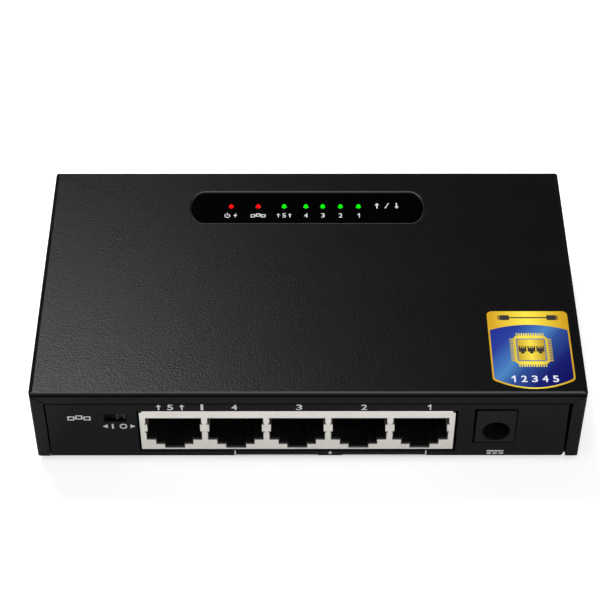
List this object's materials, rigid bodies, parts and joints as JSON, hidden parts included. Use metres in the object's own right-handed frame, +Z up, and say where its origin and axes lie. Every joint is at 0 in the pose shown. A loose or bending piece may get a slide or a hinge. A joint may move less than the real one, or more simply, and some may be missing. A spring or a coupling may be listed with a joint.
{
  "type": "desktop network switch",
  "caption": "Small desktop network switch: folded sheet-metal case with a row of network sockets, a power socket, a slide switch and status lamps.",
  "frame": {"origin": "on the surface the switch stands on, under the middle of its case (feet at z = 0)", "axes": "+X to the right as seen from the port side, +Y from the port panel to the rear panel, +Z up"},
  "size_m": [0.124, 0.0716, 0.0242],
  "materials": {
    "case_paint": "fine-grained black powder coat, semi-gloss",
    "tin_plate": "bright tin plate, lightly worn",
    "black_plastic": "moulded black, satin",
    "contact_gold": "gold-plated spring wire",
    "nickel": "nickel plate",
    "window_film": "smooth black film with pale marks",
    "lamp_red": "red diffused lamp lens",
    "lamp_green": "green diffused lamp lens",
    "circuit_board": "green solder mask over glass-fibre board",
    "chip_black": "moulded epoxy package, satin",
    "heatsink_black": "black anodised",
    "thermal_pad": "soft silicone pad",
    "capacitor_sleeve": "heat-shrunk sleeve",
    "ferrite": "pressed ferrite, dull",
    "zinc_steel": "bright zinc plate",
    "black_screw": "black oxide",
    "foot_rubber": "soft black rubber, matt",
    "badge_foil": "printed metallic foil, gold border and blue sheen, blank of any text",
    "fuse_ceramic": "glazed ceramic"
  },
  "bodies": {
    "root": {"badge": "badge_foil", "board_screw_1": "zinc_steel", "board_screw_2": "zinc_steel", "board_screw_3": "zinc_steel", "board_screw_4": "zinc_steel", "bottom_tray": "case_paint", "buck_regulator": "chip_black", "bulk_capacitor": "capacitor_sleeve", "clock_crystal": "nickel", "cover_screw_1": "black_screw", "cover_screw_2": "black_screw", "cover_screw_3": "black_screw", "cover_screw_4": "black_screw", "dc_jack_body": "black_plastic", "dc_jack_pin": "nickel", "filter_capacitor": "capacitor_sleeve", "foot_1": "foot_rubber", "foot_2": "foot_rubber", "foot_3": "foot_rubber", "foot_4": "foot_rubber", "heatsink": "heatsink_black", "input_diode": "chip_black", "input_fuse": "fuse_ceramic", "lamp_holder": "black_plastic", "lamp_mode": "lamp_red", "lamp_port_1": "lamp_green", "lamp_port_2": "lamp_green", "lamp_port_3": "lamp_green", "lamp_port_4": "lamp_green", "lamp_port_5": "lamp_green", "lamp_power": "lamp_red", "lan_transformer_1": "chip_black", "lan_transformer_2": "chip_black", "lan_transformer_3": "chip_black", "lan_transformer_4": "chip_black", "lan_transformer_5": "chip_black", "main_board": "circuit_board", "poe_controller": "chip_black", "port_housing": "black_plastic", "port_shield": "tin_plate", "power_inductor": "ferrite", "slide_switch_base": "chip_black", "slide_switch_frame": "nickel", "standoff_1": "zinc_steel", "standoff_2": "zinc_steel", "standoff_3": "zinc_steel", "standoff_4": "zinc_steel", "status_window": "window_film", "switch_chip": "chip_black", "thermal_pad": "thermal_pad", "top_cover": "case_paint"},
    "slide_knob": {"slide_switch_knob": "black_plastic", "slide_switch_wiper": "contact_gold"},
    "jack_leaf": {"dc_jack_spring": "nickel"},
    "contacts_1": {"port_contacts_1": "contact_gold"},
    "contacts_2": {"port_contacts_2": "contact_gold"},
    "contacts_3": {"port_contacts_3": "contact_gold"},
    "contacts_4": {"port_contacts_4": "contact_gold"},
    "contacts_5": {"port_contacts_5": "contact_gold"}
  },
  "joints": [
    {"name": "slide_switch", "type": "slide", "parent": "root", "child": "slide_knob", "axis": [-1, 0, 0], "range_m": [0, 0.002]},
    {"name": "contacts_5_flex", "type": "hinge", "parent": "root", "child": "contacts_5", "pos_m": [-0.03037, -0.0323, 0.01562], "axis": [1, 0, 0], "range_deg": [0, 8], "stiffness_Nm_per_rad": 0.02},
    {"name": "contacts_4_flex", "type": "hinge", "parent": "root", "child": "contacts_4", "pos_m": [-0.0164, -0.0323, 0.01562], "axis": [1, 0, 0], "range_deg": [0, 8], "stiffness_Nm_per_rad": 0.02},
    {"name": "contacts_3_flex", "type": "hinge", "parent": "root", "child": "contacts_3", "pos_m": [-0.00243, -0.0323, 0.01562], "axis": [1, 0, 0], "range_deg": [0, 8], "stiffness_Nm_per_rad": 0.02},
    {"name": "contacts_2_flex", "type": "hinge", "parent": "root", "child": "contacts_2", "pos_m": [0.01154, -0.0323, 0.01562], "axis": [1, 0, 0], "range_deg": [0, 8], "stiffness_Nm_per_rad": 0.02},
    {"name": "contacts_1_flex", "type": "hinge", "parent": "root", "child": "contacts_1", "pos_m": [0.02551, -0.0323, 0.01562], "axis": [1, 0, 0], "range_deg": [0, 8], "stiffness_Nm_per_rad": 0.02},
    {"name": "jack_leaf_flex", "type": "hinge", "parent": "root", "child": "jack_leaf", "pos_m": [0.04624, -0.0257, 0.0105], "axis": [0, 0, 1], "range_deg": [0, 2], "stiffness_Nm_per_rad": 0.02}
  ]
}
